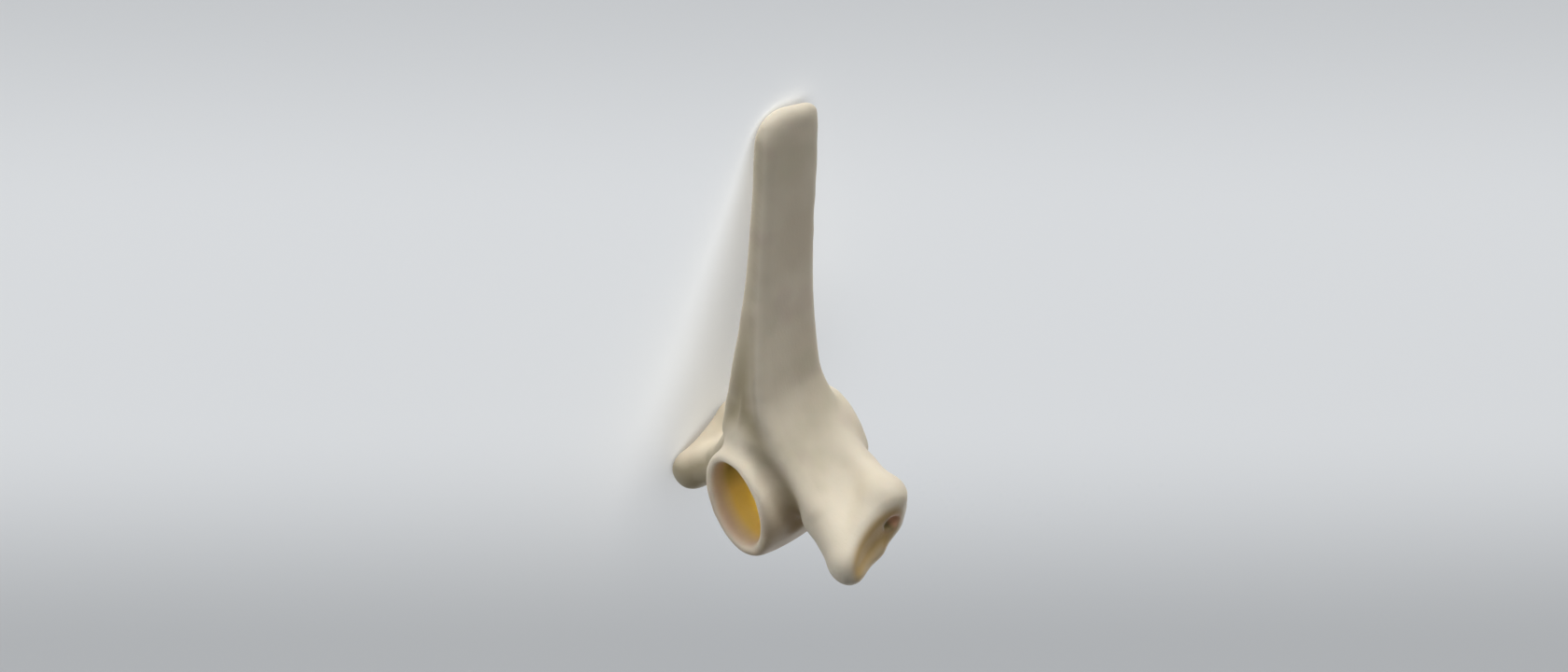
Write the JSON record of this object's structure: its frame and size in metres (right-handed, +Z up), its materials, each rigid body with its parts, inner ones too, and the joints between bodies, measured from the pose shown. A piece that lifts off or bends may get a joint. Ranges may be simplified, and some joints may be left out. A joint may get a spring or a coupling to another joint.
{
  "type": "pig thoracic vertebra",
  "caption": "Dry thoracic vertebra of a pig lying on its side: tall flat spine, side wings with rib facets, and a ring-shaped body with an open front hollow and canal.",
  "frame": {"origin": "middle of the footprint, on the floor that the bone lies on", "axes": "+X along the tall spine towards its top, +Y towards the bone's front ring, +Z up from the floor"},
  "size_m": [0.1446, 0.0526, 0.0829],
  "materials": {
    "bone": "smooth satin dry bone, cream with yellow-brown hollows"
  },
  "bodies": {
    "root": {"vertebra": "bone"}
  },
  "joints": []
}
